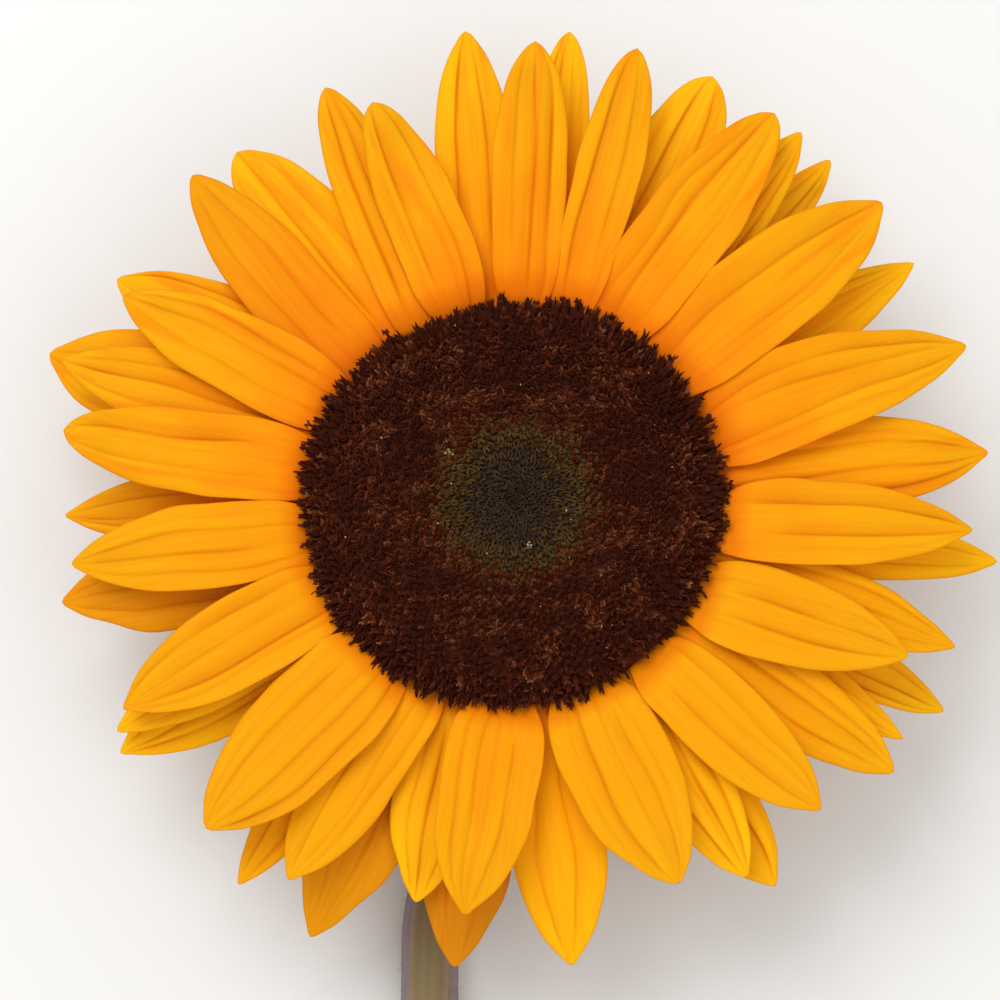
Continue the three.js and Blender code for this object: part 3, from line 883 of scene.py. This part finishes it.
leaf_green = green_material("bract_green", (74, 104, 38), (112, 140, 62), (150, 172, 96))
back_green = green_material("receptacle_green", (98, 124, 52), (134, 154, 82), (160, 178, 104))
hair_pale = Nodes("plant_hair").finish((196, 200, 168), 0.6, 0.4)
hair_dull = Nodes("stem_hair").finish((158, 148, 124), 0.6, 0.3)

BACK_EDGE, BACK_RIBS = 37.2, 21


def make_receptacle():
    """The green back of the bloom: shallow ribs run out from the stem to the rim."""
    sides = 8 * BACK_RIBS
    radii = np.array([PIN, *np.linspace(NECK_FLARE, BACK_EDGE, 40)])
    profile = [(r, underside(r)) for r in radii]
    profile += [(37.4, BACK_TOP - 0.3), (37.0, BACK_TOP), (PIN, BACK_TOP)]

    def ripple(r, a):
        shown = 1 - ease(r, 35.5, BACK_EDGE)
        return 0.35 * shown * np.cos(BACK_RIBS * a) * ease(r, 7, 16)

    points, faces = lathe(profile[::-1], sides, ripple=ripple)
    piece = make_piece("receptacle_back", points, faces, [back_green])
    ribs = 0.5 + 0.5 * np.cos(BACK_RIBS * np.arange(sides) * math.tau / sides)
    add_attribute(piece, "vein", np.tile(1 - ribs, len(profile)) ** 3)
    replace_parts(piece, "receptacle")


make_receptacle()

COLLAR_SWELL, COLLAR_SIDES = 1.6, 120
BRACT_ROWS, BRACT_COLUMNS = 30, 15
BRACT_VEINS = (-0.62, -0.34, 0, 0.34, 0.62)  # across a bract, with its midrib at 0
ROOT_SINK = 1.3  # how far a bract's root end dips into its collar
MARGIN_HAIRS = 46
STEM_BEARING, NEAR_STEM = 185, 32  # bracts that are nearer to the stem bend over it
BRACT_WHORLS = [
    # name, count, first bearing, width, collar, course of a bract, course of one over the stem
    (
        "outer", 12, 5, 14.0, (20, 26.5),
        [(22, 28), (39, 32), (50, 20), (54, 0.6)],
        [(22, 28), (38, 31.4), (50, 28), (57, 18)],
    ),
    (
        "middle", 13, 17, 14.5, (27.2, 31),
        [(29, 30.5), (41, 32), (53, 28), (61, 16)],
        [(29, 30.5), (41, 32), (53, 29), (61, 21)],
    ),
    ("inner", 14, 9, 13.0, (32, 35.3), [(34.2, 33.2), (42, 34.9), (50, 34.6), (58, 30)], None),
]


def read_rows(at, known, rows):
    """Rows of numbers, each given at a known place, read at other places."""
    return np.stack([np.interp(at, known, column) for column in rows.T], 1)


def bezier(corners, shares):
    """Points at shares of the length of a cubic Bezier curve, and the curve's directions."""
    u = np.linspace(0, 1, 400)[:, None]
    a, b, c, d = np.array(corners, float)
    path = a * (1 - u) ** 3 + 3 * b * u * (1 - u) ** 2 + 3 * c * u * u * (1 - u) + d * u**3
    run = np.concatenate([[0], np.cumsum(np.linalg.norm(np.diff(path, axis=0), axis=1))])
    ways = unit(np.gradient(path, axis=0))
    return (read_rows(shares * run[-1], run, rows) for rows in (path, ways))


def blade_width(share, widest, root, tip):
    """Half a blade's width at a share of its length, as a share of its widest half."""
    rising = np.sin(math.pi / 2 * np.minimum(1, share / widest)) ** 0.6
    falling = np.cos(math.pi / 2 * np.clip((share - widest) / (1 - widest), 0, 1)) ** 0.62
    return np.where(share < widest, np.maximum(root, rising), np.maximum(tip, falling))


def turn_to(points, bearing):
    """Points laid out towards +Y, turned to a bearing about the bloom's axis."""
    c, s = math.cos(math.radians(bearing)), math.sin(math.radians(bearing))
    x, y, z = points.T
    return np.stack([AXIS[0] + x * c + y * s, AXIS[1] - x * s + y * c, z], 1)


def bract_blade(bearing, corners, width, seed):
    """One bract: its closed blade's points, each point's vein number and its margin's hairs."""
    own = np.random.default_rng(seed)
    places = np.linspace(0, 1, BRACT_ROWS) ** 0.9
    share = places[:, None]
    t = np.sin(np.linspace(-1, 1, BRACT_COLUMNS) * math.pi / 2)
    path, way = bezier(corners, places)
    full = blade_width(share, 0.3, 0.8, 0.03)
    half = full * width / 2 * (1 + 0.05 * smooth_noise(share, seed, 0.2))
    normal = np.stack([0 * places, -way[:, 1], way[:, 0]], 1)[:, None]
    veins = np.zeros((BRACT_ROWS, BRACT_COLUMNS))
    for place in BRACT_VEINS:
        strength, reach = (0.45, 0.35) if place else (1.0, 0.5)
        veins = np.maximum(veins, strength * np.exp(-(((t - place) * half / reach) ** 2)))
    veins *= 1 - 0.7 * ease(share, 0.75, 1)
    lift = 1.6 * full * (t**2 - 0.5) - 0.25 * veins
    wave = smooth_noise(share, seed + 1, 0.22) * np.where(t < 0, -1, 1)
    wave = wave * 0.5 * np.abs(t) ** 3 * full
    bend = own.uniform(-1.5, 1.5) * share**2
    base = np.stack([t * half + bend, path[:, 0, None] + 0 * t, path[:, 1, None] + 0 * t], -1)
    sunk = ROOT_SINK * (1 - ease(share, 0, 0.12))
    upper = base + normal * (lift + wave + sunk)[..., None]
    lower = upper - normal * (0.55 - 0.33 * t**4 + 0.3 * veins)[..., None]
    points = np.stack([upper, lower]).reshape(-1, 3)
    points[:, 2] = np.maximum(points[:, 2], GROUND_GAP)

    # Hairs stand out from both margins and point a little towards the tip.
    feet, ways = [], []
    for column, turn in ((0, -1), (-1, 1)):
        at = own.uniform(0.05, 0.97, MARGIN_HAIRS)
        edge = (upper[:, column] + lower[:, column]) / 2
        feet.append(read_rows(at, places, edge))
        ahead = np.insert(read_rows(at, places, way), 0, 0, axis=1)
        ways.append(np.array([turn, 0, 0]) + 0.5 * ahead + own.normal(0, 0.25, (len(at), 3)))
    feet, ways = (turn_to(np.concatenate(found), bearing) for found in (feet, ways))
    return turn_to(points, bearing), np.tile(veins.ravel(), 2), feet, ways - [*AXIS, 0]


def make_bracts(name, count, first, width, collar, curve, over_stem):
    """A whorl of bracts with its collar as one piece, and their hairs as another."""
    inner, outer = collar
    low, high = ((radius, underside(radius) + 0.8) for radius in collar)
    u = np.linspace(0, 1, 11)
    radii = inner - 1 + (outer - inner + 2) * u
    below = underside(radii) + 0.4 - COLLAR_SWELL * (4 * u * (1 - u)) ** 0.4
    ring, band = lathe([low, *zip(radii, below), high, low], COLLAR_SIDES)
    bracts = []
    for i in range(count):
        bearing = first + i * 360 / count
        near_stem = over_stem and abs(bearing - STEM_BEARING) < NEAR_STEM
        course = over_stem if near_stem else curve
        bracts.append(bract_blade(bearing, course, width, 1000 + 50 * count + i))
    blades, veins, feet, ways = zip(*bracts)
    quads = shell_faces(BRACT_ROWS, BRACT_COLUMNS)
    points, faces, _ = joined((0, (ring, band)), *((0, (blade, quads)) for blade in blades))
    piece = make_piece(f"bracts_{name}_blades", points, faces, [leaf_green])
    add_attribute(piece, "vein", np.concatenate([np.zeros(len(ring)), *veins]))
    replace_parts(piece, f"bracts_{name}")
    own = np.random.default_rng(count)
    feet, ways = np.concatenate(feet), np.concatenate(ways)
    points, faces = spikes(feet, ways, 0.7, 1.7, 0.05, own)
    hairs = make_piece(f"bracts_{name}_hairs", points, faces, [hair_pale])
    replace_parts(hairs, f"bracts_{name}")


for whorl in BRACT_WHORLS:
    make_bracts(*whorl)

STEM_RINGS, STEM_SIDES, STEM_RIBS = 320, 84, 14
RIB_DEPTH, STEM_HAIRS = 0.13, 1800
NECK_SHARE = 0.14  # of the stem's length, over which the neck tapers
SIDESTEP_LENGTH = 66  # of straight stem, over which it drifts aside
# The cut face steps in to the softer pith: how much of the rim's radius is left at each step,
# and how far it stands back.
CUT_STEPS = ((0.97, 0.0), (0.8, 0.05), (0.66, 0.25), (0.3, 0.45), (0.01, 0.5))


def stem_line(run):
    """Centre and direction of the stem at lengths along it: a quarter circle down from the
    bloom, then along the ground."""
    bend = math.pi / 2 * NECK_BEND
    angle = np.minimum(run, bend) / NECK_BEND
    after = np.maximum(run - bend, 0)
    share = np.clip(after / SIDESTEP_LENGTH, 0, 1)
    x = -STEM_SIDESTEP * share * share * (3 - 2 * share)
    y = NECK_BEND * (np.cos(angle) - 1) - after
    z = STEM_HEIGHT + NECK_BEND * (1 - np.sin(angle))
    centre = np.stack([AXIS[0] + x, AXIS[1] + y, z], 1)
    return centre, unit(np.gradient(centre, run, axis=0))


def make_stem():
    """A ribbed, bristly stem with its pith showing at the cut."""
    length = math.pi / 2 * NECK_BEND + STEM_REACH - NECK_BEND
    run = np.linspace(0, length, STEM_RINGS)
    centre, way = stem_line(run)
    way[-1] = (0, -1, 0)
    above = np.array([[*AXIS, NECK_TOP]])
    centre, way = np.concatenate([above, centre]), np.concatenate([[[0, 0, -1]], way])
    share = np.insert(run / length, 0, 0)[:, None]
    across = unit(np.array([1.0, 0, 0]) - way[:, :1] * way)
    a = circle(STEM_SIDES)
    flare = (NECK_FLARE - STEM_RADIUS) * (1 - ease(share, 0, NECK_SHARE))
    twist = a + 0.35 * share
    ribs = 0.5 + 0.5 * np.cos(STEM_RIBS * twist + 0.8 * smooth_noise(share, 3, 0.2))
    swell = 1 + 0.012 * smooth_noise(share, 4, 0.08)
    r = (STEM_RADIUS + flare) * swell - RIB_DEPTH * ribs**2 - 0.05
    ring = spokes(across, np.cross(across, way), a)
    rings = centre[:, None] + ring * r[..., None]
    first, last, middle = rings[0], rings[-1], centre[-1]
    steps = [middle + (last - middle) * left + [0, back, 0] for left, back in CUT_STEPS]
    rings = np.concatenate([[above + (first - above) * 0.02], rings, steps])
    rings[..., 2] = np.maximum(rings[..., 2], 0.03)
    faces = grid_faces(len(rings), STEM_SIDES, around=True)[:, ::-1]
    row = faces.min(1) // STEM_SIDES
    tone = (row >= STEM_RINGS + 2).astype(int) + (row >= STEM_RINGS + 4)
    piece = make_piece("stem_skin", rings, faces, stem_tones, tone)
    share, ribs = (np.pad(rows, ((1, len(steps)), (0, 0)), "edge") for rows in (share, ribs))
    place = np.broadcast_arrays(share, np.cos(a), np.sin(a))
    add_attribute(piece, "around", np.stack(place, -1))
    add_attribute(piece, "rib", ribs)
    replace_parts(piece, "stem")

    own = np.random.default_rng(8)
    i = own.integers(8, STEM_RINGS - 2, STEM_HAIRS)
    k = own.integers(0, STEM_SIDES, STEM_HAIRS)
    ways = ring[i - 1, k] + own.normal(0, 0.3, (STEM_HAIRS, 3)) + 0.3 * way[i - 1]
    keep = rings[i, k, 2] > 1.2  # none where the stem lies on the ground
    feet, ways = rings[i, k][keep], ways[keep]
    points, faces = spikes(feet, ways, 0.5, 1.2, 0.04, own)
    points[:, 1] = np.maximum(points[:, 1], STEM_CUT + 0.1)
    hairs = make_piece("stem_hairs", points, faces, [hair_dull])
    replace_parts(hairs, "stem")


def stem_skin():
    """Olive brown above, with mauve bands along the stem's flanks that turn to violet: the
    colour that grows towards the flanks is a painted reflection of the sky, and the bands are the
    stem's own.
    """
    n = Nodes("stem_skin")
    share, cosine, sine = place = n.parts("around")
    bands = n.noise(1.5, 3, n.stretched(place, (2.0, 3.0, 3.0)), 0.55)
    # Painted reflection of the sky: strongest on the flanks, broken up by the bands.
    flank = n.maths("ABSOLUTE", cosine)
    flank = n.times(flank, n.ramp(sine, (0.0, 1.0), (0.45, 0.6)))
    flank = n.plus(flank, n.times(n.plus(bands, -0.5), 0.9))
    colour = n.ramp(
        flank,
        (0.35, (128, 110, 72)),
        (0.55, (134, 112, 78)),
        (0.74, (146, 120, 108)),
        (0.95, (131, 119, 133)),
    )
    # Painted shade in the grooves between the ribs.
    colour = n.mix(n.times(n.attribute("rib"), 0.16), colour, (84, 72, 58))
    colour = n.mix(n.ramp(share, (0.03, 0.9), (0.15, 0.0)), colour, (112, 128, 62))
    fine = n.noise(1500, 3)
    n.bump(n.plus(fine, bands), 0.25, 0.0002)
    return n.finish(colour, n.ramp(fine, (0.3, 0.5), (0.7, 0.68)), 0.35)


stem_tones = [
    stem_skin(),
    floret_material("stem_rind", (150, 158, 96), (176, 182, 122), 0.7),
    floret_material("stem_pith", (216, 214, 186), (236, 234, 212), 0.9),
]
make_stem()


# ---- Floor, lights and camera ----

ground = bpy.data.meshes.new("floor")
ground.from_pydata([(-3, -3, 0), (3, -3, 0), (3, 3, 0), (-3, 3, 0)], [], [(0, 1, 2, 3)])
floor = put_in_scene("floor", ground)
paper = Nodes("floor_paper")
ground.materials.append(paper.finish((236, 236, 234), 0.9, 0.1))

world = bpy.data.worlds.new("studio")
scene.world = world
world.use_nodes = True
sky = world.node_tree.nodes["Background"].inputs
sky["Color"].default_value = (1, 1, 1, 1)
sky["Strength"].default_value = 0.71


def area_light(name, place, size, watts):
    """A soft square lamp at a place in metres, facing the bloom."""
    data = bpy.data.lights.new(name, "AREA")
    data.size, data.energy = size, watts
    lamp = put_in_scene(name, data)
    lamp.location = place
    bloom = Vector((*AXIS * MM, 0.04))
    lamp.rotation_euler = (bloom - Vector(place)).to_track_quat("-Z", "Y").to_euler()


area_light("key", (-0.34, 0.4, 1.0), 0.7, 5.8)
area_light("fill", (0.5, -0.6, 1.1), 1.0, 2.8)

ELEVATION = math.radians(78)
DISTANCE = 0.9
AIM_HEIGHT, AIM_ASIDE, AIM_UP = 0.042, -0.00286, 0.00057
camera_data = bpy.data.cameras.new("camera")
camera_data.lens, camera_data.sensor_width = 170, 36
camera = put_in_scene("camera", camera_data)
back = Vector((0, -math.cos(ELEVATION), math.sin(ELEVATION)))
up = Vector((0, math.sin(ELEVATION), math.cos(ELEVATION)))
aim = Vector((*AXIS * MM, AIM_HEIGHT)) + Vector((AIM_ASIDE, 0, 0)) + up * AIM_UP
camera.location = aim + back * DISTANCE
camera.rotation_euler = (-back).to_track_quat("-Z", "Y").to_euler()
camera_data.clip_start, camera_data.clip_end = 0.05, 20
scene.camera = camera
scene.view_settings.view_transform = "Standard"
